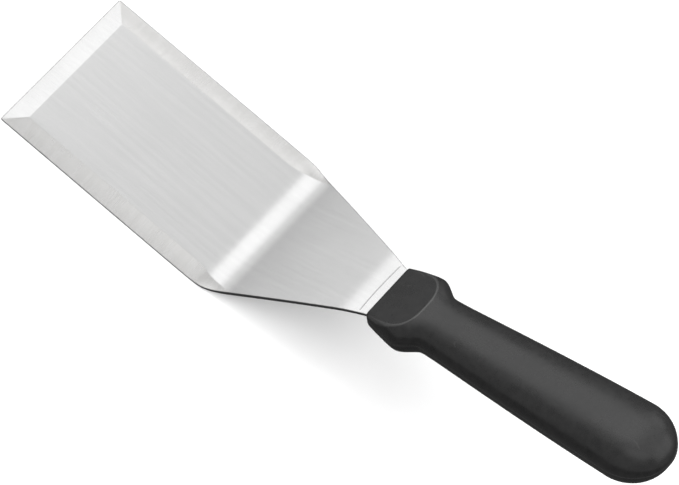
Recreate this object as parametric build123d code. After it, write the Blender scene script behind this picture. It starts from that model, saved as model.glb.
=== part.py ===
from build123d import *
import os
from math import cos, pi, radians, sin, sqrt, tan

# Grill spatula: a stamped and ground stainless blade whose tang is moulded into a black plastic
# handle. The blade's flat underside lies on z = 0 and its middle is the origin. -X is the front
# edge, +X the handle, +Y the blade's left side seen from the handle, +Z up. Millimetres.

# ---- blade: one bent sheet ----
sheet = 1.6
blade_width = 76.2
blade_length = 107.9
bend_radius = 20.0
heel_start_x = 59.65
heel_angle = 30.6
neck_start_x = 107.4
neck_radius = 40.0
tang_length = 86.0

# ---- blade: outline seen from above ----
taper_x = 55.25
neck_x = 113.6
neck_half_width = 14.6
collar_half_width = 13.2
tang_half_width = 9.0
tang_tip_half_width = 7.0
shoulder_radius = 25.0
corner_radius = 0.8
lock_hole_radius = 3.5
lock_hole_places = (34.0, 52.0, 70.0)

# ---- blade: ground bevels on the upper face ----
grind_width = 8.2
ground_edge = 0.5

# ---- handle: lengths run along its own sloping axis, from the collar ----
collar_x = 118.12
collar_z = 31.21
handle_angle = 21.5
handle_length = 142.5
collar_width = 28.6
collar_height = 8.4
bolster_place = 18.5
bolster_width = 38.0
bolster_blend = 2.0
flank_slope = 0.91
waist_place = 29.5
waist_width = 25.38
waist_blend = 1.2
grip_place = 123.2
grip_width = 34.78
grip_bow = 0.5
bolster_height = 18.4
waist_height = 17.4
grip_height = 21.0
facet_length = 21.0
squareness = 2.85
section_points = 28
section_spacing = 2.8

# ---- core: the first shot that grips the tang ----
skin = 4.6
core_start = 26.0
core_squareness = 2.6

half_sheet = sheet / 2
blade_front = -blade_length / 2
grip_frame = Plane(
    origin=(collar_x, 0, collar_z),
    x_dir=(0, 1, 0),
    z_dir=(cos(radians(handle_angle)), 0, sin(radians(handle_angle))),
)


def ease(start, end, place):
    """0 before start, 1 after end, and a smooth half cosine wave between."""
    share = min(max((place - start) / (end - start), 0.0), 1.0)
    return (1 - cos(pi * share)) / 2


def soft_min(a, b, blend):
    """The lower of a and b, rounded where they meet."""
    return (a + b - sqrt((a - b) ** 2 + blend ** 2)) / 2


def soft_max(a, b, blend):
    """The higher of a and b, rounded where they meet."""
    return (a + b + sqrt((a - b) ** 2 + blend ** 2)) / 2


def half_width(place):
    """Half the handle's width: a straight flare, a slope in to the waist, a slow straight swell."""
    bolster, waist, grip = bolster_width / 2, waist_width / 2, grip_width / 2
    flare = collar_width / 2 + (bolster - collar_width / 2) * place / bolster_place
    flank = bolster - flank_slope * (place - bolster_place)
    share = (place - waist_place) / (grip_place - waist_place)
    swell = waist + (grip - waist) * share + grip_bow * 4 * share * (1 - share)
    return soft_max(soft_min(flare, flank, bolster_blend), swell, waist_blend)


def half_height(place):
    """Half the handle's thickness: full at the bolster, less at the waist, most at the end."""
    waist = ease(bolster_place, waist_place, place)
    swell = ease(waist_place, grip_place, place)
    height = bolster_height + (waist_height - bolster_height) * waist
    return (height + (grip_height - waist_height) * swell) / 2


def end_round(place, end):
    """Quarter-ellipse factor that closes the handle's end, 1 up to the grip's widest place."""
    share = max((place - grip_place) / (end - grip_place), 0.0)
    return sqrt(max(1 - share ** 2, 0.0))


def section(place, half_wide, half_high, power):
    """Superellipse across the handle's axis at a place, as a closed wire."""
    points = []
    for step in range(section_points):
        turn = 2 * pi * (step + 0.5) / section_points
        side = abs(cos(turn)) ** (2 / power) * (1 if cos(turn) > 0 else -1)
        rise = abs(sin(turn)) ** (2 / power) * (1 if sin(turn) > 0 else -1)
        points.append((half_wide * side, half_high * rise))
    edge = Spline(*points, periodic=True)
    return grip_frame.offset(place) * Wire([edge])


def stations(start, end):
    """Places of the loft sections: evenly spaced, then closing up in the rounded end."""
    count = round((grip_place - start) / section_spacing)
    straight = [start + (grip_place - start) * step / count for step in range(count + 1)]
    quarter = (end - grip_place) / (section_spacing * 1.2)
    rounded = [sin(step / quarter) for step in range(1, 30) if step / quarter < 1.5]
    return straight + [grip_place + (end - grip_place) * share for share in rounded]


def lofted_bar(start, end, inset, power):
    """Loft along the handle, a constant inset inside its outer skin."""
    rings = []
    for place in stations(start, end):
        closing = end_round(place, end)
        wide = (half_width(min(place, grip_place)) - inset) * closing
        high = (half_height(min(place, grip_place)) - inset) * closing
        rings.append(section(place, wide, high, power))
    return Solid.make_loft(rings)


def bend_reach(radius, turn):
    """How far a bend's arc reaches on each side of the corner that it rounds."""
    return radius * tan(radians(turn) / 2)


def sheet_strip():
    """The bent sheet at full width: flat, bend, heel, second bend and tang, one thickness."""
    first = bend_reach(bend_radius, heel_angle)
    second = bend_reach(neck_radius, heel_angle - handle_angle)
    between = (neck_start_x - heel_start_x) / cos(radians(heel_angle))
    with BuildSketch(Plane.XZ) as side:
        with BuildLine():
            flat = Line((blade_front, half_sheet), (heel_start_x - first, half_sheet))
            bend = JernArc(flat @ 1, flat % 1, bend_radius, heel_angle)
            heel = Line(bend @ 1, bend @ 1 + (bend % 1) * (between - first - second))
            ease_off = JernArc(heel @ 1, heel % 1, neck_radius, handle_angle - heel_angle)
            Line(ease_off @ 1, ease_off @ 1 + (ease_off % 1) * tang_length)
        trace(line_width=sheet)
    return extrude(side.sketch, amount=blade_width / 2, both=True)


def sheet_outline():
    """The blade's outline from above, cut through all heights."""
    tang_x = collar_x + 12
    tip_x = collar_x + 200
    half = [
        (blade_front, blade_width / 2),
        (taper_x, blade_width / 2),
        (neck_x, neck_half_width),
        (collar_x, collar_half_width),
        (tang_x, tang_half_width),
        (tip_x, tang_tip_half_width),
    ]
    mirrored = [(x, -y) for x, y in reversed(half)]
    with BuildSketch() as plan:
        with BuildLine():
            Polyline(*half, *mirrored, close=True)
        make_face()
        front = plan.vertices().group_by(Axis.X)[0]
        fillet(front, radius=corner_radius)
        shoulders = [v for v in plan.vertices() if abs(v.X - taper_x) < 0.01]
        fillet(shoulders, radius=shoulder_radius)
    return extrude(plan.sketch, amount=blade_width * 2)


def grind_wedge(length):
    """What a grinding wheel takes off: a long wedge above the slope from ridge to ground edge."""
    slope = (sheet - ground_edge) / grind_width
    past = 2.0
    wedge = Polyline(
        (0, sheet), (grind_width + past, sheet - slope * (grind_width + past)),
        (grind_width + past, sheet + 3), (0, sheet + 3), close=True,
    )
    return extrude(Plane.YZ * make_face(wedge), amount=length)


def side_grind():
    """The +Y side's wedge, stopped by a slanting face at the end of the flat."""
    ridge_y = blade_width / 2 - grind_width
    wedge = Pos(blade_front - 5, ridge_y, 0) * grind_wedge(blade_length + 5)
    runout_x = blade_length / 2
    stop = Pos(runout_x, ridge_y - 1, -1) * Rot(0, 0, -40) * Box(
        60, 60, 20, align=(Align.MIN, Align.MIN, Align.MIN))
    return wedge - stop


def blade():
    """Sheet strip trimmed to the outline, ground on three edges and pierced for the handle."""
    body = sheet_strip() & sheet_outline()
    grind = side_grind()
    front = Pos(blade_front + grind_width, 60, 0) * Rot(0, 0, 90) * grind_wedge(120)
    body = body - grind - mirror(grind, about=Plane.XZ) - front
    for place in lock_hole_places:
        hole = Cylinder(lock_hole_radius, 20)
        body -= grip_frame.offset(place) * Rot(90, 0, 0) * hole
    return body


def facet_cutter(side):
    """Block above the bolster's sloping front facet; side is 1 for the top, -1 below."""
    rise = (bolster_height - collar_height) / 2
    reach = facet_length * 2
    slope = Polyline(
        (0, 0), (facet_length * 2, rise * 2), (facet_length * 2, 30), (-20, 30),
        (-20, -rise * 20 / facet_length), close=True,
    )
    tall = extrude(Plane.XZ * make_face(slope), amount=reach, both=True)
    tall = Pos(0, 0, collar_height / 2) * tall
    if side < 0:
        tall = mirror(tall, about=Plane.XY)
    axis_frame = Plane(origin=grip_frame.origin, x_dir=grip_frame.z_dir, z_dir=grip_frame.y_dir)
    return axis_frame * tall


def handle_body():
    """Outer form of the handle, solid."""
    body = lofted_bar(0, handle_length, 0, squareness)
    return body - facet_cutter(1) - facet_cutter(-1)


def core_body():
    """Outer form of the core, solid."""
    return lofted_bar(core_start, handle_length - skin, skin, core_squareness)


def main():
    os.makedirs("parts", exist_ok=True)
    steel = blade()
    core = core_body()
    grip = handle_body() - core - steel
    core = core - steel
    for name, solid in (("blade", steel), ("handle_core", core), ("handle", grip)):
        pieces = solid.solids()
        volume = sum(piece.volume for piece in pieces)
        print(name, len(pieces), "solid", round(volume), "mm3", solid.bounding_box())
        export_step(solid, f"parts/{name}.step")


main()
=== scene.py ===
# %% [markdown]
# # A grill spatula
# A heavy griddle turner is two things in the hand: one sheet of stainless steel, stamped, ground on
# three edges and bent twice, and a black plastic handle moulded round the end of that sheet.
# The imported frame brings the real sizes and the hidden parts. This lesson rebuilds the two pieces
# that show as smooth surfaces, and gives them finishes that hold up close to the eye.

# %% Load the frame
import math
import bmesh
import bpy
import numpy as np
from mathutils import Matrix, Vector


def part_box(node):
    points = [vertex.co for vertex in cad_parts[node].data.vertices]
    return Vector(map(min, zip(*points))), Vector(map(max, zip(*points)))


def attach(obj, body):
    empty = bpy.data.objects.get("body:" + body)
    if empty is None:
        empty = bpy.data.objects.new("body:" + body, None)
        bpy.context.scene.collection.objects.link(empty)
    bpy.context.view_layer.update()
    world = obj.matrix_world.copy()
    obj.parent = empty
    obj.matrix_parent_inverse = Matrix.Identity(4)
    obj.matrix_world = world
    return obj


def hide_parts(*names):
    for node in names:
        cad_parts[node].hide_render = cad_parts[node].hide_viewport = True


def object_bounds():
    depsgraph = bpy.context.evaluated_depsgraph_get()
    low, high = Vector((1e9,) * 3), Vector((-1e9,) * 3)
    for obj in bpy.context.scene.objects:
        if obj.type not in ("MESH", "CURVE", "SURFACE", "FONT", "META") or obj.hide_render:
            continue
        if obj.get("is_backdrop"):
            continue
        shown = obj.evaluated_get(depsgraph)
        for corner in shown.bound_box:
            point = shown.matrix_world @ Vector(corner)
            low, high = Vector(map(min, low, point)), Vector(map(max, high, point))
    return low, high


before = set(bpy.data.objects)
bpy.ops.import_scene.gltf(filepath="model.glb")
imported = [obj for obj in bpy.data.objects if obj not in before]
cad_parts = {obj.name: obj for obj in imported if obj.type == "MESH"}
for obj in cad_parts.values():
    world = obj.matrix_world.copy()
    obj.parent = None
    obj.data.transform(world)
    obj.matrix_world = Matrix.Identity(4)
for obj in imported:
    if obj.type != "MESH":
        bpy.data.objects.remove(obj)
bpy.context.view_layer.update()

MM = 0.001
blade_low, blade_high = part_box("blade")
handle_low, handle_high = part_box("handle")
print("blade box", [round(v, 4) for v in (*blade_low, *blade_high)])
print("handle box", [round(v, 4) for v in (*handle_low, *handle_high)])

# %% [markdown]
# ## The camera
# A catalogue view: a long lens from far away, looking down over the near edge and turned a little,
# so that the tool runs from corner to corner. A long lens keeps parallel edges parallel, which is
# how straight ground edges are best judged.

# %% Camera
camera_turn = math.radians(16.56)
camera_lift = math.radians(65.01)
camera_roll = math.radians(25.09)
camera_distance = 1.865
lens_length = 238.2
camera_aim = Vector((0.08445, 0.01824, 0.0))

back = Vector((
    math.sin(camera_turn) * math.cos(camera_lift),
    -math.cos(camera_turn) * math.cos(camera_lift),
    math.sin(camera_lift),
))
level = Vector((math.cos(camera_turn), math.sin(camera_turn), 0.0))
upward = back.cross(level)
right = level * math.cos(camera_roll) + upward * math.sin(camera_roll)
camera_data = bpy.data.cameras.new("long_lens")
camera_data.sensor_width = 36.0
camera_data.lens = lens_length
camera_data.clip_start = 0.05
camera_data.clip_end = 50.0
camera = bpy.data.objects.new("camera", camera_data)
camera.matrix_world = Matrix((right, back.cross(right), back)).transposed().to_4x4()
camera.location = camera_aim + back * camera_distance
bpy.context.scene.collection.objects.link(camera)
bpy.context.scene.camera = camera
print("camera at", [round(v, 3) for v in camera.location])

# %% [markdown]
# ## Two small tools for smooth outlines
# Real edges are never perfectly sharp: where two slopes meet there is always a small radius. A soft
# minimum follows the lower of two lines and rounds the meeting place, and a soft maximum follows
# the higher one. Both work on whole arrays, so one formula shapes a whole surface.

# %% Soft minimum, soft maximum, and a mesh from a grid
def soft_min(a, b, blend):
    """The lower of a and b, rounded over blend: half of (a + b - root of ((a - b)^2 + blend^2))."""
    return (a + b - np.sqrt((a - b) ** 2 + blend ** 2)) / 2


def soft_max(a, b, blend):
    """The higher of a and b, rounded over blend: half of (a + b + root of ((a - b)^2 + blend^2))."""
    return (a + b + np.sqrt((a - b) ** 2 + blend ** 2)) / 2


def smooth_step(start, end, value):
    """0 before start, 1 after end, and 3u^2 - 2u^3 between, where u runs from 0 to 1."""
    share = np.clip((value - start) / (end - start), 0, 1)
    return share * share * (3 - 2 * share)


def ring_faces(rows, around):
    """Quads of a closed tube, as one array: row r, place c joins row r + 1, with the last place
    joined to the first."""
    row, place = np.meshgrid(np.arange(rows - 1), np.arange(around), indexing="ij")
    after = (place + 1) % around
    quads = np.stack([row * around + place, row * around + after,
                      (row + 1) * around + after, (row + 1) * around + place], axis=-1)
    return quads.reshape(-1, 4)


def make_piece(name, points, faces, uv, masks, body="root"):
    """A smooth mesh object from arrays: points (n, 3), a list of face arrays, the surface's own
    measure in metres as a UV map (n, 2), and one float attribute for each mask."""
    mesh = bpy.data.meshes.new(name)
    face_list = [face for block in faces for face in block.tolist()]
    mesh.from_pydata(points.reshape(-1, 3).tolist(), [], face_list)
    corners = np.empty(len(mesh.loops), dtype=np.int32)
    mesh.loops.foreach_get("vertex_index", corners)
    layer = mesh.uv_layers.new(name="Developed")
    layer.data.foreach_set("uv", uv.reshape(-1, 2)[corners].astype(np.float32).ravel())
    for mask_name, values in masks.items():
        mask = mesh.attributes.new(mask_name, "FLOAT", "POINT")
        mask.data.foreach_set("value", values.astype(np.float32).ravel())
    mesh.polygons.foreach_set("use_smooth", np.ones(len(mesh.polygons), dtype=bool))
    mesh.validate()
    piece = bpy.data.objects.new(name, mesh)
    bpy.context.scene.collection.objects.link(piece)
    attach(piece, body)
    print(name, len(mesh.vertices), "points,", len(mesh.polygons), "faces")
    return piece


# %% [markdown]
# ## The blade's centre line
# Every part of the blade is the same sheet, so its shape starts as a walk along the sheet's middle:
# flat, round the first bend, up the heel, back a little in the second bend and into the handle as
# the tang. A press bends steel gently: the curve starts softly, is tightest in the middle and ends
# softly, so the slope is written as smooth steps of the distance walked. Adding up the cosines and
# sines of that slope gives the place of every point on the line.

# %% Centre line of the sheet
sheet = 1.6 * MM
blade_front = blade_low.x
half_blade = blade_high.y
tang_inset = 1.0 * MM
tang_end = blade_high.x - tang_inset
heel_corner = 59.65 * MM
heel_slope = math.radians(30.6)
heel_sag = math.radians(-1.6)
neck_corner = 107.9 * MM
handle_slope = math.radians(21.5)
first_bend = 18.5 * MM
second_bend = 8.5 * MM
# A rounded bend is a little shorter to walk than its sharp corner.
corner_cut = 0.26 * MM
walk_places = 12001

first_centre = heel_corner - blade_front - corner_cut / 2
second_centre = first_centre + (neck_corner - heel_corner) / math.cos(heel_slope) - corner_cut / 2
walk_end = second_centre + (tang_end - neck_corner) / math.cos(handle_slope)
walk = np.linspace(0, walk_end, walk_places)
heel_share = np.clip((walk - first_centre) / (second_centre - first_centre), 0, 1)
walk_slope = (
    (heel_slope + heel_sag * (2 * heel_share - 1))
    * smooth_step(first_centre - first_bend / 2, first_centre + first_bend / 2, walk)
    - (heel_slope + heel_sag - handle_slope)
    * smooth_step(second_centre - second_bend / 2, second_centre + second_bend / 2, walk))
stride = walk[1] - walk[0]
mid_slope = (walk_slope[1:] + walk_slope[:-1]) / 2
walk_x = blade_front + np.concatenate([[0.0], np.cumsum(np.cos(mid_slope) * stride)])
walk_z = sheet / 2 + np.concatenate([[0.0], np.cumsum(np.sin(mid_slope) * stride)])
print("sheet is", round(walk_end, 4), "m long")
print("its tang ends at", round(walk_x[-1], 4), round(walk_z[-1], 4))


# %% [markdown]
# ## The blade's outline and its ground edges
# Seen from above the sheet is a rectangle that tapers to the neck. The front and both long sides
# are ground on the upper face. A grinding wheel is round, so the ground face is slightly hollow: it
# drops steeply at its inner ridge and flattens towards the edge. That changing slope is what makes
# a bevel glow along its ridge and calm down towards its edge.

# %% Outline and thickness
taper_start = 55.25 * MM
taper_rate = 0.4045
neck_half = 12.2 * MM
tang_half = 9.0 * MM
tang_tip_half = 7.0 * MM
collar_x = 118.12 * MM
shoulder_blend = 1.2 * MM
neck_blend = 1.6 * MM
corner_radius = 0.8 * MM
tang_taper = 12 * MM
grind_width = 8.2 * MM
ground_edge = 0.5 * MM
edge_share = 0.55
past_ridge = 1.6
ridge_blend = 0.03 * MM
mitre_blend = 0.05 * MM
clearing = 1.05
edge_round = 0.12 * MM
wheel_off = first_centre - 14 * MM
wheel_clear = first_centre + 12 * MM


def half_outline(along):
    """Half the sheet's width at a distance along it: the blade's, soft-minimum the taper's line,
    soft-maximum the neck's, then straight lines down to the tang, and a rounded front corner."""
    x = np.interp(along, walk, walk_x)
    taper = half_blade - taper_rate * (x - taper_start)
    seen = soft_max(soft_min(half_blade, taper, shoulder_blend), neck_half, neck_blend)
    seen = np.minimum(seen, half_blade)
    at_collar = half_blade - taper_rate * (collar_x - taper_start)
    at_collar = soft_max(at_collar, neck_half, neck_blend)
    hidden = np.interp(x, [collar_x, collar_x + tang_taper, walk_x[-1]],
                       [at_collar, tang_half, tang_tip_half])
    wide = np.where(x > collar_x, hidden, seen)
    inset = np.clip(corner_radius - along, 0, corner_radius)
    return wide - (corner_radius - np.sqrt(corner_radius ** 2 - inset ** 2))


def hollow_grind(distance):
    """Thickness left at a distance in from a ground edge: the edge's, plus 0.55u + 0.45u^2 of what
    the full sheet has over it, where u is the distance as a share of the grind's width."""
    share = np.clip(distance / grind_width, 0, past_ridge)
    rise = edge_share * share + (1 - edge_share) * share ** 2
    return ground_edge + (sheet - ground_edge) * rise


def grinds(along, in_from_side):
    """Heights that the front grind and the side grinds leave. The wheel comes off the sides over
    the bend: its face rises by a smooth step until it clears the sheet."""
    clearance = (sheet - ground_edge) * clearing * smooth_step(wheel_off, wheel_clear, along)
    return hollow_grind(along), hollow_grind(in_from_side) + clearance


def thickness(along, in_from_side):
    """Sheet thickness: the least of the full sheet and what the two grinds leave."""
    front, side = grinds(along, in_from_side)
    return soft_min(soft_min(front, side, mitre_blend), sheet, ridge_blend)


# %% [markdown]
# ## The line across the neck
# Just in front of the handle a fine line is pressed across the sheet, where the mould closed on it
# or a tool located it. It is only a tenth of a millimetre deep, but polished steel shows it, because
# the groove's two walls reflect other parts of the room than the sheet beside it.

# %% Pressed line
groove_depth = 0.11 * MM
groove_width = 0.26 * MM
groove_bow = 0.5 * MM
groove_fade = (0.8 * MM, 2.3 * MM)
groove_place = np.interp(collar_x, walk_x, walk) - 4.6 * MM


def pressed_groove(along, across, width):
    """Depth of the line pressed across the neck: a bell curve along the sheet, bowed forward in
    the middle by half a millimetre, and faded out over the last millimetre and a half each side."""
    middle = groove_place - groove_bow * (1 - (across / width) ** 2)
    bell = np.exp(-((along - middle) / groove_width) ** 2)
    return groove_depth * bell * smooth_step(*groove_fade, width - np.abs(across))


print("the line is", round(float(groove_place), 4), "m along the sheet")


# %% [markdown]
# ## The blade as one closed skin
# The blade is drawn as rings. Each ring goes once round the sheet at one distance along it: over the
# top, down one edge, back underneath and up the other edge. Rings and points stand close together
# where the shape changes fast, which is at the grinds, the bends and the pressed line, and far apart
# where it is flat. The corners between top, edge and underside are rounded by a small radius, since
# a sheared and tumbled edge is never sharp.

# %% Rings along the blade
def spread(*stretches):
    """One rising list of places from (start, end, step) stretches, evenly spaced in each."""
    parts = [np.linspace(a, b, max(int(round((b - a) / step)), 1), endpoint=False)
             for a, b, step in stretches]
    return np.concatenate(parts + [[stretches[-1][1]]])


edge_zone = 9.6 * MM
grind_step = 0.2 * MM
first_bend_zone = (wheel_off - 8 * MM, wheel_clear + 2 * MM)
second_bend_zone = (second_centre - 8 * MM, groove_place - 1.4 * MM)
groove_zone = (second_bend_zone[1], groove_place + 0.9 * MM)
hidden_start = groove_place + 8 * MM
rows = spread(
    (edge_round, edge_zone, grind_step), (edge_zone, first_bend_zone[0], 2 * MM),
    (*first_bend_zone, 0.4 * MM), (first_bend_zone[1], second_bend_zone[0], 1.6 * MM),
    (*second_bend_zone, 0.3 * MM), (*groove_zone, 0.08 * MM),
    (groove_zone[1], hidden_start, 0.4 * MM), (hidden_start, walk_end, 3 * MM),
)
round_share = 0.3
rows = np.concatenate([[0.0, edge_round * round_share], rows])
inward = spread((edge_round, edge_zone, grind_step))
flat_columns = 34
middle = np.linspace(0, 1, flat_columns)[1:-1]

width = half_outline(rows)[:, None]
narrowing = width / half_blade
from_edge = inward[None, :] * narrowing
left = width - from_edge
across = np.concatenate([
    left, left[:, -1:] * (1 - 2 * middle[None, :]), -left[:, ::-1]], axis=1)
in_from_side = width - np.abs(across)
along = rows[:, None] + 0 * across
top_height = thickness(along, in_from_side) - pressed_groove(along, across, width)
print("blade has", len(rows), "rings")


def rounding(radius, places):
    """How far a rounded corner of a radius lies under the sharp one, at places in from its end."""
    left = np.clip(radius - places, 0, radius)
    return radius - np.sqrt(np.clip(radius ** 2 - left ** 2, 0, None))


squeeze = rounding(edge_round, rows)[:, None]
edge_height = top_height[:, :1]
wall_out = np.array([-round_share, 0.0, 0.0, -round_share]) * edge_round
wall_up = np.concatenate([
    edge_height - round_share * edge_round, edge_height - edge_round,
    0 * edge_height + edge_round, 0 * edge_height + round_share * edge_round], axis=1)
ring_y = np.concatenate([across, -(width + wall_out[None, :]), across[:, ::-1],
                         (width + wall_out[None, ::-1])], axis=1)
ring_h = np.concatenate([
    top_height - squeeze, np.clip(wall_up, squeeze, edge_height - squeeze),
    0 * top_height + squeeze, np.clip(wall_up[:, ::-1], squeeze, edge_height - squeeze)], axis=1)
ring_s = np.broadcast_to(rows[:, None], ring_y.shape)

centre_x = np.interp(ring_s, walk, walk_x)
centre_z = np.interp(ring_s, walk, walk_z)
tilt = np.interp(ring_s, walk, walk_slope)
lift = ring_h - sheet / 2
blade_points = np.stack([
    centre_x - np.sin(tilt) * lift, ring_y, centre_z + np.cos(tilt) * lift], axis=-1)

top_count, wall_count = across.shape[1], len(wall_out)
around = ring_y.shape[1]


# %% [markdown]
# ## Ends, masks and the blade piece
# A ladder of quads closes each end of the skin. The masks say what was done to each place: ground
# from the front, ground from the side, sheared, or near an edge. The finish reads them later, so
# that the grinding lines change direction exactly where the wheel did. It also paints the sheared
# walls dark and the last half millimetre of the edges darker: painted shade for the sheet's dark
# outline, with some wear along the edges.

# %% Blade piece
def end_cap(row, flip):
    """Ladder of quads between the upper and the lower side of one ring, and the two walls' ends."""
    upper = np.arange(top_count)
    lower = (2 * top_count + wall_count - 1) - upper
    quads = np.stack([upper[:-1], upper[1:], lower[1:], lower[:-1]], axis=1)
    right_wall = np.arange(top_count - 1, top_count + wall_count + 1)
    left_wall = np.append(np.arange(2 * top_count + wall_count - 1, around), 0)
    caps = [quads, right_wall[None, :], left_wall[None, :]]
    caps = [block + row * around for block in caps]
    return [block[:, ::-1] for block in caps] if flip else caps


blade_faces = [ring_faces(len(rows), around)]
blade_faces += end_cap(0, True) + end_cap(len(rows) - 1, False)

ring_in = width - np.abs(ring_y)
front_left, side_left = grinds(ring_s, ring_in)
upper_side = np.arange(around)[None, :] < top_count
front_mask = (front_left < side_left) & (front_left < sheet) & upper_side
side_mask = (side_left <= front_left) & (side_left < sheet * 0.999) & upper_side
# The sheared walls: rougher, and painted dark by the finish as painted shade for the sheet's dark
# outline.
sheared_painted_dark = (~upper_side) & (np.arange(around)[None, :] < top_count + wall_count)
sheared_painted_dark |= np.arange(around)[None, :] >= 2 * top_count + wall_count
# The edge mask: the finish paints the last half millimetre darker, partly wear and partly painted
# shade.
edge_reach = 0.5 * MM
near_edge = np.exp(-np.minimum(ring_in, ring_s) / edge_reach)
blade = make_piece(
    "blade_steel", blade_points, blade_faces, np.stack([ring_s, ring_y], axis=-1),
    {"front_grind": front_mask, "side_grind": side_mask, "edge": near_edge,
     "sheared_painted_dark": sheared_painted_dark & (ring_s > 0)})
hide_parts("blade")


# %% [markdown]
# ## The handle's form
# The handle is moulded, so it has no straight saw cuts: its width is one smooth outline with a
# straight flare to the bolster, a quick slope in to the waist and a slow swell to the round end.
# Across, every slice is a superellipse, squarer than an oval and softer than a box, which is what
# a palm likes. A sloping facet cuts the crowned top in front of the bolster, and because the top is
# crowned, the cut ends in a curved ridge.

# %% Handle sizes and outline
handle_x = collar_x
handle_z = 31.21 * MM
handle_length = 142.5 * MM
collar_half_width = 14.3 * MM
bolster_place = 17.5 * MM
bolster_half = 18.85 * MM
bolster_blend = 2.8 * MM
flank_slope = 0.82
waist_place = 29.5 * MM
waist_half = 12.69 * MM
waist_blend = 1.2 * MM
grip_place = 123.2 * MM
grip_half = 17.39 * MM
grip_bow = 0.5 * MM
collar_squareness = 3.3
grip_squareness = 2.85
collar_half_height = 4.2 * MM
bolster_half_height = 9.2 * MM
waist_drop = 0.5 * MM
grip_rise = 1.8 * MM
facet_length = 21.0 * MM
rim_round = 1.0 * MM


def handle_half_width(place):
    """Half the handle's width: the soft minimum of a rising flare and a falling flank, then the
    soft maximum of that and the grip, which swells in a line with a slight bow."""
    flare = collar_half_width + (bolster_half - collar_half_width) * place / bolster_place
    flank = bolster_half - flank_slope * (place - bolster_place)
    share = (place - waist_place) / (grip_place - waist_place)
    grip = waist_half + (grip_half - waist_half) * share + grip_bow * 4 * share * (1 - share)
    return soft_max(soft_min(flare, flank, bolster_blend), grip, waist_blend)


def handle_half_height(place):
    """Half the handle's thickness: full at the bolster, less at the waist, most at the end."""
    waist = smooth_step(bolster_place, waist_place, place)
    swell = smooth_step(waist_place, grip_place, place)
    return bolster_half_height - waist_drop * waist + grip_rise * swell


print("bolster and grip are", round(2 * bolster_half, 4), "and", round(2 * grip_half, 4), "m wide")


# %% [markdown]
# ## Slices across the handle
# The handle's skin is a stack of slices, all with the same number of points. A superellipse drawn
# by equal turning angles crowds its points in the middle of the flats and starves the corners, so
# the angles are first spaced by length along the curve. Slices stand close together from the collar
# to the waist, and close up again in the round end, which follows a quarter of an ellipse.

# %% Handle slices
slices = 232
turn = np.linspace(0, 2 * np.pi, slices, endpoint=False)
section_ratio = 0.6
bolster_end = 34 * MM
square_settles = waist_place + 6 * MM


def signed_power(value, power):
    """The size of a value raised to a power, with the value's own sign."""
    return np.sign(value) * np.abs(value) ** power


def even_turns(squareness):
    """Turning angles that space the points of a superellipse evenly along its curve: the curve's
    length is added up from fine steps, and read backwards."""
    fine = np.linspace(0, 2 * np.pi, 4001)
    y = signed_power(np.cos(fine), 2 / squareness)
    z = signed_power(np.sin(fine), 2 / squareness)
    steps = np.hypot(np.diff(y), section_ratio * np.diff(z))
    length = np.concatenate([[0.0], np.cumsum(steps)])
    return np.interp(turn / (2 * np.pi) * length[-1], length, fine)


slice_turn = even_turns(grip_squareness)[None, :]
quarter = np.linspace(0, np.pi / 2, 44)
rim = rim_round * (1 - np.cos(np.linspace(0, np.pi / 2, 7)))
places = np.concatenate([
    rim, spread((rim_round, bolster_end, 0.28 * MM), (bolster_end, grip_place, 1.4 * MM))[1:],
    grip_place + (handle_length - grip_place) * np.sin(quarter[1:-1])])
end_share = np.clip((places - grip_place) / (handle_length - grip_place), 0, 1)
closing = np.sqrt(1 - end_share ** 2)
held = np.minimum(places, grip_place)
rim_inset = rounding(rim_round, places)
wide = (handle_half_width(held) * closing - rim_inset)[:, None]
high = (handle_half_height(held) * closing)[:, None]
square = collar_squareness + (grip_squareness - collar_squareness) * smooth_step(
    bolster_place, square_settles, places)[:, None]
side_y = wide * signed_power(np.cos(slice_turn), 2 / square)
raw_z = high * signed_power(np.sin(slice_turn), 2 / square)
print("handle has", len(places), "slices of", slices, "points")

# %% [markdown]
# ## The facet and its ridge
# The facet is a plane that rises from the collar, and the handle keeps whatever lies under it. Two
# mould faces rarely meet perfectly along such a ridge, so it stands a tenth of a millimetre proud
# and is rounded: a thin bright line in the light. To keep that line one width all the way round,
# the height over the plane is divided by how steeply the two surfaces part.

# %% Facet cut
facet_blend = 0.55 * MM
ridge_width = 0.5 * MM
ridge_height = 0.11 * MM
polish_and_highlight_width = 0.8 * MM
steepest = 2.5
side_share = 0.4
facet_rise = (handle_half_height(bolster_place) - collar_half_height) / facet_length
ceiling = (collar_half_height + facet_rise * places - rim_inset)[:, None]
level = np.clip(np.abs(raw_z) / high, 1e-3, 1)
out = np.clip(np.abs(side_y) / wide, 0, 1)
steepness = np.minimum(high / wide * (out / level) ** (square - 1), steepest)
parting = np.sqrt(facet_rise ** 2 + steepness ** 2)
over = np.abs(raw_z) - ceiling
cut_z = soft_min(np.abs(raw_z), ceiling, facet_blend * parting)
bead = ridge_height * np.exp(-(over / (parting * ridge_width)) ** 2) / (1 + steepness ** 2)
below = np.abs(raw_z) < side_share * ceiling
side_z = np.sign(raw_z) * np.where(below, np.abs(raw_z), cut_z + bead)
# Ridge mask: the finish makes the ridge smoother and paints it paler, as a painted highlight.
ridge_mask = np.exp(-(over / (parting * polish_and_highlight_width)) ** 2) * (places[:, None] > rim_round)
side_t = places[:, None] + 0 * side_y

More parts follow.
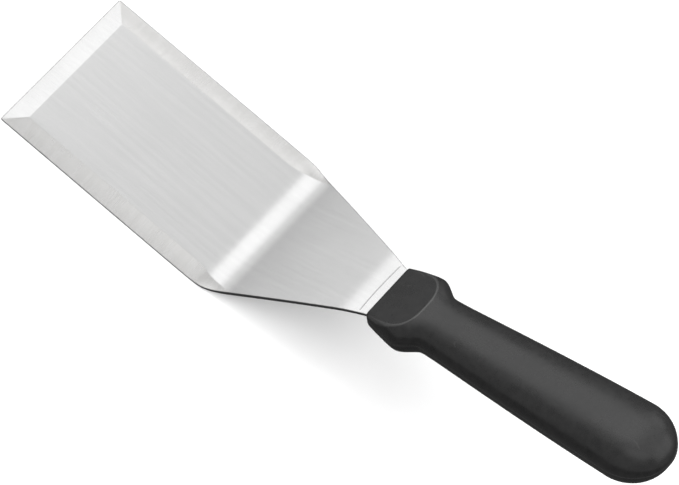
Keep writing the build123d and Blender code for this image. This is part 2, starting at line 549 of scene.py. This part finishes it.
cap_share = np.array([0.0, 0.35, 0.7])[:, None]
all_y = np.concatenate([cap_share * side_y[:1], side_y, 0 * side_y[-1:]])
all_z = np.concatenate([cap_share * side_z[:1], side_z, 0 * side_z[-1:]])
all_t = np.concatenate([0 * cap_share * side_y[:1], side_t, handle_length + 0 * side_y[-1:]])
all_ridge = np.concatenate([0 * cap_share * side_y[:1], ridge_mask, 0 * side_y[-1:]])
print("ridge reaches", round(float(facet_length / MM), 1), "mm from the collar")

# %% [markdown]
# ## The handle in its place
# So far the handle lies along its own axis. Its slope is the tang's, and its collar sits where the
# tang leaves the handle. The seam's height and the place along the handle go with the mesh as
# masks, because the mould's parting line follows them and not the world's axes.

# %% Handle piece
def along_handle(place, across, up):
    """Points in the frame from the handle's own measures: a walk up its axis and a rise off it."""
    run, rise = math.cos(handle_slope), math.sin(handle_slope)
    x = handle_x + place * run - up * rise
    z = handle_z + place * rise + up * run
    return np.stack([x, across, z], axis=-1)


handle_points = along_handle(all_t, all_y, all_z)
from_top = np.abs((turn + np.pi / 2) % (2 * np.pi) - np.pi) * grip_half
handle = make_piece(
    "handle_grip", handle_points, [ring_faces(len(all_t), slices)],
    np.stack([all_t, np.broadcast_to(from_top[None, :], all_t.shape)], axis=-1),
    {"seam_height": all_z, "place": all_t, "ridge": all_ridge})
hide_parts("handle")

# %% [markdown]
# ## Closed skins
# Each end of the handle is a fan of quads that meet in many points at one place. Welding joins them
# into one pole. The test that follows is the one that a printer's software makes: every edge has
# exactly two faces that agree on which side is out, and the volume is above zero.

# %% Weld the poles
def weld(piece, gap=1e-6):
    """Joins points that lie together, so that the closed ends of a tube have one pole each."""
    shell = bmesh.new()
    shell.from_mesh(piece.data)
    bmesh.ops.remove_doubles(shell, verts=shell.verts, dist=gap)
    bmesh.ops.dissolve_degenerate(shell, edges=shell.edges, dist=gap / 10)
    shell.to_mesh(piece.data)
    faults = [edge for edge in shell.edges if not edge.is_contiguous]
    volume = shell.calc_volume(signed=True) / MM ** 3
    print(piece.name, "open, doubled or flipped edges:", len(faults))
    print("volume", round(volume), "mm3, above zero when faces point outward")
    shell.free()


weld(handle)
weld(blade)


# %% [markdown]
# ## Building finishes from nodes
# A finish is a small network: patterns go in at one end and the shader's sockets come out at the
# other. Short helpers keep that readable. They add a node, do arithmetic, stretch a range of values
# into another, scale a direction, make noise, lay one colour over another and add up effects.
# Numbers that are the same all over a surface are typed straight into the shader.

# %% Node helpers
def add(tree, kind, **settings):
    """Adds a node of a kind to a node tree and applies its settings."""
    made = tree.nodes.new(kind)
    for setting, value in settings.items():
        setattr(made, setting, value)
    return made


def feed(tree, socket, value):
    """Puts a number, a colour or another node's output into an input socket."""
    if isinstance(value, bpy.types.NodeSocket):
        tree.links.new(value, socket)
    else:
        socket.default_value = value


def work_out(tree, operation, *values):
    """Arithmetic on numbers or outputs, and the result as an output."""
    made = add(tree, "ShaderNodeMath", operation=operation)
    for place, value in enumerate(values):
        feed(tree, made.inputs[place], value)
    return made.outputs[0]


def stretch(tree, value, low, high, to_low=0.0, to_high=1.0):
    """A smooth step from to_low, where the value is low, to to_high, where it is high."""
    made = add(tree, "ShaderNodeMapRange", interpolation_type="SMOOTHSTEP")
    for place, number in enumerate((value, low, high, to_low, to_high)):
        feed(tree, made.inputs[place], number)
    return made.outputs[0]


def blend_colours(tree, share, first, second):
    """The first colour where share is 0 and the second where it is 1."""
    made = add(tree, "ShaderNodeMix", data_type="RGBA")
    for place, value in ((0, share), (6, first), (7, second)):
        feed(tree, made.inputs[place], value)
    return made.outputs[2]


def lay_over(tree, colour, layers):
    """A colour with layers over it in turn. A layer is a mask, its strength and its own colour."""
    for mask, strength, tint in layers:
        colour = blend_colours(tree, work_out(tree, "MULTIPLY", mask, strength), colour, (*tint, 1))
    return colour


def add_up(tree, total, effects):
    """A number plus effects, where an effect is a pattern and how much it adds."""
    for pattern, amount in effects:
        total = work_out(tree, "ADD", total, work_out(tree, "MULTIPLY", pattern, amount))
    return total


def scaled(tree, vector, x, y, z):
    """A vector with each part multiplied by its own number or output."""
    factors = add(tree, "ShaderNodeCombineXYZ")
    for place, value in enumerate((x, y, z)):
        feed(tree, factors.inputs[place], value)
    made = add(tree, "ShaderNodeVectorMath", operation="MULTIPLY")
    tree.links.new(vector, made.inputs[0])
    tree.links.new(factors.outputs[0], made.inputs[1])
    return made.outputs[0]


def cloud(tree, vector, scale, detail=2.0, roughness=0.5):
    """Smooth noise from 0 to 1 at a scale."""
    made = add(tree, "ShaderNodeTexNoise")
    tree.links.new(vector, made.inputs["Vector"])
    feed(tree, made.inputs["Scale"], scale)
    made.inputs["Detail"].default_value = detail
    made.inputs["Roughness"].default_value = roughness
    return made.outputs[0]


def new_group(name, inputs, outputs):
    """An empty node group with named sockets. Inputs are (name, kind, value), outputs are names."""
    tree = bpy.data.node_groups.new(name, "ShaderNodeTree")
    for label, kind, value in inputs:
        socket = tree.interface.new_socket(
            name=label, in_out="INPUT", socket_type="NodeSocket" + kind)
        if value is not None:
            socket.default_value = value
    for label in outputs:
        tree.interface.new_socket(name=label, in_out="OUTPUT", socket_type="NodeSocketFloat")
    return tree, add(tree, "NodeGroupInput").outputs, add(tree, "NodeGroupOutput").inputs


def place_group(tree, group, **values):
    """Puts a group into a material with its own values; a name's spaces are written as _."""
    made = add(tree, "ShaderNodeGroup", node_tree=group)
    for label, value in values.items():
        feed(tree, made.inputs[label.replace("_", " ")], value)
    return made.outputs


def per_metre(tree, size_mm):
    """A noise scale in patterns per metre, from a pattern's size in millimetres."""
    return work_out(tree, "DIVIDE", 1000.0, size_mm)


print("node helpers are ready")

# %% [markdown]
# ## Grinding lines
# A belt leaves fine parallel lines: short noise across the belt's travel, very long noise along it.
# Stretching one noise pattern by different amounts in its two directions gives both. A second,
# rarer pattern picks out the few grains that dug deeper. Surface coordinates are in metres with X
# along the lines, so the numbers that go in are real: lines per millimetre, and their length.

# %% Group: Grinding Lines
grinding_lines, given, result = new_group(
    "Grinding Lines",
    [("Surface", "Vector", None), ("Lines per mm", "Float", 4.0), ("Length mm", "Float", 25.0)],
    ["Lines", "Deep Lines", "Streaks"])
tree = grinding_lines
along_lines = per_metre(tree, given["Length mm"])
across_lines = work_out(tree, "MULTIPLY", given["Lines per mm"], 1000.0)
long_lines = work_out(tree, "MULTIPLY", along_lines, 0.4)
wide_lines = work_out(tree, "MULTIPLY", across_lines, 0.12)
fine = scaled(tree, given["Surface"], along_lines, across_lines, 1.0)
broad = scaled(tree, given["Surface"], long_lines, wide_lines, 1.0)
deepest = cloud(tree, fine, 0.55, detail=1.0)
feed(tree, result["Lines"], stretch(tree, cloud(tree, fine, 1.0, detail=3.0), 0.3, 0.7))
feed(tree, result["Deep Lines"], stretch(tree, deepest, 0.66, 0.76))
feed(tree, result["Streaks"], stretch(tree, cloud(tree, broad, 1.0), 0.3, 0.7))
print("group:", grinding_lines.name)

# %% [markdown]
# ## Cloudy patches and handling scuffs
# No surface that people use is even. Patches are soft noise a few millimetres wide, for wiped
# grease, polish and dust. Scuffs are thin wandering lines: where a stretched noise passes through
# its middle value it makes a contour line, and keeping only a narrow band round that value draws
# it. Patches then decide where the scuffs are kept, because scratches come in groups.

# %% Groups: Cloudy Patches and Handling Scuffs
cloudy_patches, given, result = new_group(
    "Cloudy Patches", [("Surface", "Vector", None), ("Size mm", "Float", 8.0)], ["Patches"])
tree = cloudy_patches
soft_noise = cloud(
    tree, given["Surface"], per_metre(tree, given["Size mm"]), detail=4.0, roughness=0.55)
feed(tree, result["Patches"], stretch(tree, soft_noise, 0.3, 0.7))

handling_scuffs, given, result = new_group(
    "Handling Scuffs",
    [("Surface", "Vector", None), ("Spacing mm", "Float", 6.0), ("Share", "Float", 0.5)],
    ["Scuffs"])
tree = handling_scuffs
scuff_scale = per_metre(tree, given["Spacing mm"])
drawn_out = scaled(tree, given["Surface"], 0.22, 1.0, 1.0)
off_middle = work_out(tree, "SUBTRACT", cloud(tree, drawn_out, scuff_scale, detail=1.0), 0.5)
thin_line = stretch(tree, work_out(tree, "ABSOLUTE", off_middle), 0.0, 0.012, 1.0, 0.0)
clusters = cloud(tree, given["Surface"], work_out(tree, "MULTIPLY", scuff_scale, 0.45))
where_kept = stretch(
    tree, clusters, work_out(tree, "SUBTRACT", 1.02, given["Share"]),
    work_out(tree, "SUBTRACT", 1.10, given["Share"]))
feed(tree, result["Scuffs"], work_out(tree, "MULTIPLY", thin_line, where_kept))
print("groups:", cloudy_patches.name, "and", handling_scuffs.name)

# %% [markdown]
# ## Worn and painted edges, and moulded grain
# Edges are rubbed first and unevenly, so an edge mask from the mesh is broken up by noise before it
# is used. The finishes lay wear on it and paint on it too: painted shade along the steel's edges and
# a painted highlight along the plastic's ridge. Moulded grain is the texture that a spark-eroded
# mould gives plastic: small rounded bumps about a third of a millimetre apart, with a finer
# roughness on top.

# %% Groups: Worn And Painted Edges and Moulded Grain
worn_and_painted_edges, given, result = new_group(
    "Edge Wear",
    [("Edge", "Float", 0.0), ("Surface", "Vector", None), ("Breakup mm", "Float", 2.0)],
    ["Wear"])
tree = worn_and_painted_edges
breakup = cloud(tree, given["Surface"], per_metre(tree, given["Breakup mm"]), detail=3.0)
uneven = work_out(tree, "MULTIPLY", work_out(tree, "SUBTRACT", breakup, 0.5), 0.7)
uneven_edge = work_out(tree, "ADD", given["Edge"], uneven)
feed(tree, result["Wear"], stretch(tree, uneven_edge, 0.35, 0.85))

moulded_grain, given, result = new_group(
    "Moulded Grain", [("Surface", "Vector", None), ("Grain mm", "Float", 0.35)],
    ["Grain", "Fine"])
tree = moulded_grain
grain_scale = per_metre(tree, given["Grain mm"])
fine_scale = work_out(tree, "MULTIPLY", grain_scale, 3.0)
pebble = add(tree, "ShaderNodeTexVoronoi", feature="SMOOTH_F1")
feed(tree, pebble.inputs["Vector"], given["Surface"])
feed(tree, pebble.inputs["Scale"], grain_scale)
feed(tree, result["Grain"], stretch(tree, pebble.outputs["Distance"], 0.1, 0.7, 1.0, 0.0))
feed(tree, result["Fine"], cloud(tree, given["Surface"], fine_scale, detail=3.0, roughness=0.6))
print("groups:", worn_and_painted_edges.name, "and", moulded_grain.name)

# %% [markdown]
# ## Ground stainless steel
# The flat is belt finished along the blade, and the side grinds are finished across, from ridge to
# edge, which is why they look warmer and duller beside it. The surface coordinates are the sheet
# laid out flat, in metres, so the lines follow every bend. On the side grinds the two directions
# change places. The sheared edge, which no belt has touched, is rougher, and its colour is painted
# dark as painted shade, which draws the sheet's thin dark outline. The last half millimetre of the
# edges is painted darker as well: partly wear, partly painted shade along the edge.

# %% Material helpers
def new_finish(name, **constants):
    """A material with a Principled shader, and numbers typed straight into its sockets."""
    finish = bpy.data.materials.new(name)
    finish.use_nodes = True
    shader = finish.node_tree.nodes["Principled BSDF"]
    for label, value in constants.items():
        shader.inputs[label.replace("_", " ")].default_value = value
    return finish, finish.node_tree, shader


def mask_of(tree, name):
    """One of the piece's own masks, by name."""
    return add(tree, "ShaderNodeAttribute", attribute_name=name).outputs["Fac"]


def raise_bumps(tree, shader, height, distance, strength=1.0):
    """Bumps of a height pattern, with distance the height in metres of a pattern value of 1."""
    bump = add(tree, "ShaderNodeBump")
    bump.inputs["Strength"].default_value = strength
    bump.inputs["Distance"].default_value = distance
    feed(tree, bump.inputs["Height"], height)
    feed(tree, shader.inputs["Normal"], bump.outputs["Normal"])


def either(tree, mask, first, second):
    """The first pattern where the mask is 0 and the second where it is 1."""
    kept = work_out(tree, "MULTIPLY", first, work_out(tree, "SUBTRACT", 1.0, mask))
    return work_out(tree, "ADD", kept, work_out(tree, "MULTIPLY", second, mask))


# %% Material: ground stainless
steel, tree, shader = new_finish("ground_stainless", Metallic=1.0, Specular_IOR_Level=0.5)
laid_out = add(tree, "ShaderNodeUVMap", uv_map="Developed").outputs[0]
parts = add(tree, "ShaderNodeSeparateXYZ")
feed(tree, parts.inputs[0], laid_out)
turned = add(tree, "ShaderNodeCombineXYZ")
feed(tree, turned.inputs[0], parts.outputs[1])
feed(tree, turned.inputs[1], parts.outputs[0])
side_ground = mask_of(tree, "side_grind")
sheared_edge_painted_dark = mask_of(tree, "sheared_painted_dark")
ground = work_out(tree, "MAXIMUM", side_ground, mask_of(tree, "front_grind"))
lengthways = place_group(
    tree, grinding_lines, Surface=laid_out, Lines_per_mm=3.6, Length_mm=30.0)
crossways = place_group(
    tree, grinding_lines, Surface=turned.outputs[0], Lines_per_mm=3.0, Length_mm=9.0)
patches = place_group(tree, cloudy_patches, Surface=laid_out, Size_mm=22.0)["Patches"]
scuffs = place_group(
    tree, handling_scuffs, Surface=laid_out, Spacing_mm=9.0, Share=0.33)["Scuffs"]
# Edge mask broken up by noise: darker edges, partly wear and partly painted shade along the edge.
worn_and_painted_edge = place_group(
    tree, worn_and_painted_edges, Edge=mask_of(tree, "edge"), Surface=laid_out, Breakup_mm=1.6)["Wear"]
lines, deep_lines, streaks = (
    either(tree, side_ground, lengthways[label], crossways[label])
    for label in ("Lines", "Deep Lines", "Streaks"))

belt_colour = blend_colours(tree, streaks, (0.640, 0.640, 0.640, 1), (0.660, 0.660, 0.659, 1))
wheel_colour = blend_colours(tree, streaks, (0.640, 0.635, 0.626, 1), (0.668, 0.664, 0.657, 1))
colour = blend_colours(
    tree, work_out(tree, "MULTIPLY", side_ground, 0.9), belt_colour, wheel_colour)
# Deep lines and scuffs are real marks. The darker edges are partly wear and partly painted shade,
# and the dark sheared walls are painted shade.
feed(tree, shader.inputs["Base Color"], lay_over(tree, colour, (
    (deep_lines, 0.22, (0.50, 0.50, 0.49)), (scuffs, 0.35, (0.74, 0.74, 0.73)),
    (worn_and_painted_edge, 0.75, (0.30, 0.30, 0.30)), (sheared_edge_painted_dark, 0.9, (0.16, 0.16, 0.16)))))
feed(tree, shader.inputs["Roughness"], add_up(tree, 0.185, (
    (lines, 0.05), (patches, 0.035), (streaks, 0.012), (ground, 0.015), (scuffs, 0.10),
    (sheared_edge_painted_dark, 0.25))))
height = work_out(tree, "SUBTRACT", lines, work_out(tree, "MULTIPLY", deep_lines, 1.5))
raise_bumps(tree, shader, work_out(tree, "SUBTRACT", height, scuffs), 1.3e-6)
blade.data.materials.append(steel)
print(steel.name, "has", len(tree.nodes), "nodes")

# %% [markdown]
# ## Black moulded plastic
# Kitchen and grill handles are often polypropylene: nearly black, a little waxy, with a satin
# texture that spreads reflections without killing them. Where the two halves of the mould met, a
# hair-thin line runs round the middle: a small bump, painted lighter as a painted highlight along
# the line. The facet's ridge is rubbed smoother by cloths and hands, and it is painted paler as a
# painted highlight along the ridge. The coordinates are turned so that X runs up the handle, and
# scuffs run that way too.

# %% Material: black polypropylene
plastic, tree, shader = new_finish("black_polypropylene", Specular_IOR_Level=0.70, IOR=1.49)
turn_upright = add(tree, "ShaderNodeMapping")
turn_upright.inputs["Rotation"].default_value = (0.0, handle_slope, 0.0)
feed(tree, turn_upright.inputs["Vector"], add(tree, "ShaderNodeTexCoord").outputs["Object"])
upright = turn_upright.outputs[0]
grain = place_group(tree, moulded_grain, Surface=upright, Grain_mm=0.36)
patches = place_group(tree, cloudy_patches, Surface=upright, Size_mm=14.0)["Patches"]
dust = place_group(tree, cloudy_patches, Surface=upright, Size_mm=3.0)["Patches"]
scuffs = place_group(
    tree, handling_scuffs, Surface=upright, Spacing_mm=7.0, Share=0.40)["Scuffs"]
# Ridge mask broken up by noise: smoother, and painted paler as a painted highlight along the ridge.
worn_and_painted_edge = place_group(
    tree, worn_and_painted_edges, Edge=mask_of(tree, "ridge"), Surface=upright, Breakup_mm=2.5)["Wear"]
# Seam mask: a bump along the parting line, painted lighter as a painted highlight.
seam_distance = work_out(tree, "ABSOLUTE", mask_of(tree, "seam_height"))
behind_rim = stretch(tree, mask_of(tree, "place"), 0.5 * MM, 1.5 * MM)
seam_line_and_highlight = stretch(tree, seam_distance, 0.05 * MM, 0.22 * MM, 1.0, 0.0)
seam_line_and_highlight = work_out(tree, "MULTIPLY", seam_line_and_highlight, behind_rim)

colour = blend_colours(tree, patches, (0.0048, 0.0048, 0.0050, 1), (0.0068, 0.0068, 0.0070, 1))
# Dust and scuffs are real marks; the paler ridge and the lighter seam are painted highlights.
feed(tree, shader.inputs["Base Color"], lay_over(tree, colour, (
    (dust, 0.10, (0.045, 0.044, 0.042)), (scuffs, 0.30, (0.060, 0.060, 0.060)),
    (worn_and_painted_edge, 0.70, (0.050, 0.050, 0.050)), (seam_line_and_highlight, 0.55, (0.075, 0.075, 0.075)))))
feed(tree, shader.inputs["Roughness"], add_up(tree, 0.235, (
    (grain["Grain"], 0.05), (patches, 0.05), (dust, 0.03), (scuffs, 0.12), (worn_and_painted_edge, -0.10),
    (seam_line_and_highlight, -0.08))))
raised = add_up(tree, grain["Grain"], ((grain["Fine"], 0.4), (seam_line_and_highlight, 1.6), (scuffs, -0.5)))
raise_bumps(tree, shader, raised, 9e-6)
handle.data.materials.append(plastic)
print(plastic.name, "has", len(tree.nodes), "nodes")

# %% [markdown]
# ## The hidden core
# The first shot of the moulding grips the tang and is never seen, but it keeps its own part from the
# frame. It gets the same grain, coarser and greyer, because a core is moulded from stiff,
# glass-filled plastic and left rough, so that the second shot can key into it.

# %% Material: glass-filled core
core_finish, tree, shader = new_finish("glass_filled_core", Specular_IOR_Level=0.45, IOR=1.49)
where = add(tree, "ShaderNodeTexCoord").outputs["Object"]
grain = place_group(tree, moulded_grain, Surface=where, Grain_mm=0.8)
patches = place_group(tree, cloudy_patches, Surface=where, Size_mm=5.0)["Patches"]
feed(tree, shader.inputs["Base Color"], blend_colours(
    tree, patches, (0.035, 0.035, 0.037, 1), (0.070, 0.069, 0.068, 1)))
feed(tree, shader.inputs["Roughness"], add_up(tree, 0.50, ((grain["Fine"], 0.2),)))
raise_bumps(tree, shader, grain["Grain"], 3e-5)
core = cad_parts["handle_core"]
if not core.material_slots:
    core.data.materials.append(core_finish)
for material_slot in core.material_slots:
    material_slot.material = core_finish
print("core has", len(core.material_slots), "material slot")

# %% [markdown]
# ## The light
# Polished steel shows the room, so lighting it means placing what it reflects. Each panel below is
# a soft white rectangle far enough away to look even, and it is placed by the direction in which
# one face of the tool reflects it: overhead for the flat, the key for the bend and the front grind,
# the fill for the heel. A pale sky fills the rest. A ring of four lights that shiny surfaces don't
# show brightens the floor from all sides, which leaves only the soft dark patch under the heel.

# %% Studio lights
panel_distance = 2.5
heel_point = Vector((0.03, 0.0, 0.01))


def softbox(name, toward, size, radiance):
    """A rectangular light seen from the heel along toward. Its first size runs fore and aft over
    the tool and its second across it, and its power is radiance times pi times its area."""
    data = bpy.data.lights.new(name, "AREA")
    data.shape = "RECTANGLE"
    data.size, data.size_y = size
    data.energy = radiance * math.pi * size[0] * size[1]
    light = bpy.data.objects.new(name, data)
    facing = Vector(toward).normalized()
    fore = Vector((0, 1, 0)).cross(facing).normalized()
    light.matrix_world = Matrix((fore, facing.cross(fore), facing)).transposed().to_4x4()
    light.location = heel_point + facing * panel_distance
    light.visible_camera = False
    bpy.context.scene.collection.objects.link(light)
    return light


panels = (
    ("overhead", (0.07, 0.29, 0.95), (1.65, 2.6), 0.53),
    ("back_panel", (-0.12, 0.80, 0.60), (1.2, 0.9), 0.74),
    ("key", (-0.532, 0.412, 0.740), (1.61, 1.0), 0.84),
    ("wide_key", (-0.50, 0.38, 0.78), (1.4, 2.6), 0.34),
    ("near_panel", (-0.12, -0.02, 0.99), (1.0, 0.7), 0.30),
    ("front_fill", (-0.815, 0.40, 0.42), (0.75, 1.3), 0.62),
    ("side_key", (0.55, 0.50, 0.67), (1.4, 1.4), 0.8),
)
for name, toward, size, radiance in panels:
    softbox(name, toward, size, radiance)

ring_bearings = (20, 110, 200, 290)
for bearing in ring_bearings:
    heading = math.radians(bearing)
    toward = (math.cos(heading), math.sin(heading), 0.75)
    ring_light = softbox(f"ring_{bearing}", toward, (2.0, 3.4), 1.6)
    ring_light.visible_glossy = False
print(len(panels), "panels and", len(ring_bearings), "ring lights")

world = bpy.data.worlds.new("pale_sky")
world.use_nodes = True
sky = world.node_tree.nodes["Background"]
sky.inputs["Color"].default_value = (1, 1, 1, 1)
sky.inputs["Strength"].default_value = 0.40
bpy.context.scene.world = world
bpy.context.scene.view_settings.view_transform = "Standard"

# %% [markdown]
# ## The floor
# A sheet of pale card. Its faint tooth comes from the same patches and grain as the other finishes.
# To everything but the camera it is a dark grey, so it reads as white without filling the tool's
# dark sides and underside with light.

# %% Floor
floor_half = 3.0
floor_points = np.array([[-1, -1, 0], [1, -1, 0], [1, 1, 0], [-1, 1, 0]]) * floor_half
floor_mesh = bpy.data.meshes.new("floor")
floor_mesh.from_pydata(floor_points.tolist(), [], [[0, 1, 2, 3]])
floor = bpy.data.objects.new("floor", floor_mesh)
bpy.context.scene.collection.objects.link(floor)
floor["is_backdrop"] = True
card, tree, shader = new_finish("pale_card", Roughness=0.9, Specular_IOR_Level=0.2)
where = add(tree, "ShaderNodeTexCoord").outputs["Object"]
patches = place_group(tree, cloudy_patches, Surface=where, Size_mm=60.0)["Patches"]
tooth = place_group(tree, moulded_grain, Surface=where, Grain_mm=1.5)
card_colour = blend_colours(tree, patches, (0.88, 0.88, 0.88, 1), (0.91, 0.91, 0.91, 1))
to_camera = add(tree, "ShaderNodeLightPath").outputs["Is Camera Ray"]
feed(tree, shader.inputs["Base Color"], blend_colours(
    tree, to_camera, (0.10, 0.10, 0.10, 1), card_colour))
raise_bumps(tree, shader, tooth["Fine"], 2e-5)
floor_mesh.materials.append(card)
print("floor is", 2 * floor_half, "m across")

# %% [markdown]
# The smooth model has to fill the same box as the CAD parts that it stands in for, because the CAD
# box is what other parts are fitted to. Both boxes are written down, smallest corner first.

# %% Sizes, and the end
low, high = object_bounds()
print("visual box", [round(v, 4) for v in (*low, *high)])
